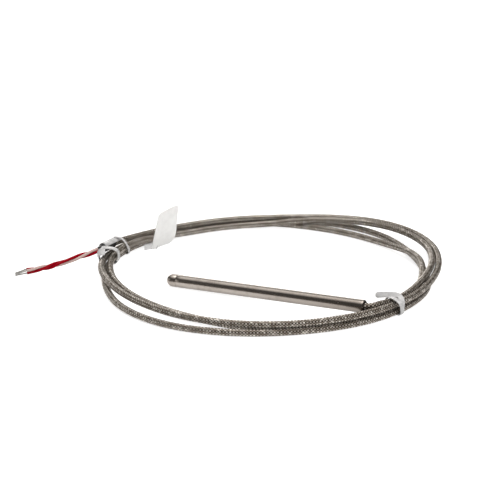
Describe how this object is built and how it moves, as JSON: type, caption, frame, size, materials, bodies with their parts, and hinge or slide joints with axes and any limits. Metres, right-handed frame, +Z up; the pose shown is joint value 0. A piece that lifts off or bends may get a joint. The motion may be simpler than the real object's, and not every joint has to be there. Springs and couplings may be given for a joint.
{
  "type": "rtd probe",
  "caption": "Straight round-tipped steel resistance thermometer probe with a braid-covered lead in a loose tied coil, ending in stripped wires.",
  "frame": {"origin": "bottom centre of the probe's own box, on the surface that the part lies on", "axes": "+X along the probe in plan, from its rounded tip to its cable end; +Z up"},
  "size_m": [0.1882, 0.1716, 0.0208],
  "materials": {
    "sheath_steel": "satin, drawn along its length",
    "cement": "dull, slightly grainy",
    "element_ceramic": "fine matt ceramic",
    "lead_metal": "bright drawn wire",
    "glass_braid": "woven glass fibre",
    "crimp_metal": "tinned copper",
    "splice_film": "amber film",
    "wire_red": "smooth red insulation",
    "wire_white": "smooth off-white insulation",
    "potting": "dark cast resin",
    "steel_braid": "dense braid of fine steel wires",
    "shrink_black": "black shrunk sleeve",
    "tinned_strands": "tinned stranded copper",
    "tie_strip": "milky flexible strip",
    "tag_film": "white film, folded on itself"
  },
  "bodies": {
    "root": {"sheath_tube": "sheath_steel", "tip_cap": "sheath_steel", "tip_filler": "cement", "element_body": "element_ceramic", "element_lead_a": "lead_metal", "element_lead_b": "lead_metal", "lead_sleeve_a": "glass_braid", "lead_sleeve_b": "glass_braid", "crimp_red": "crimp_metal", "crimp_white": "crimp_metal", "splice_sleeve_red": "splice_film", "splice_sleeve_white": "splice_film", "inner_wire_red_a": "wire_red", "inner_wire_red_b": "wire_red", "pigtail_red_a": "wire_red", "pigtail_red_b": "wire_red", "inner_wire_white": "wire_white", "pigtail_white": "wire_white", "rear_seal": "potting", "cable_held_end": "steel_braid", "cable_lead": "steel_braid", "cable_coil": "steel_braid", "cable_tail": "steel_braid", "end_sleeve": "shrink_black", "bare_end_red_a": "tinned_strands", "bare_end_red_b": "tinned_strands", "bare_end_white": "tinned_strands", "tie_right": "tie_strip", "tie_left": "tie_strip", "flag_tag": "tag_film"}
  },
  "joints": []
}
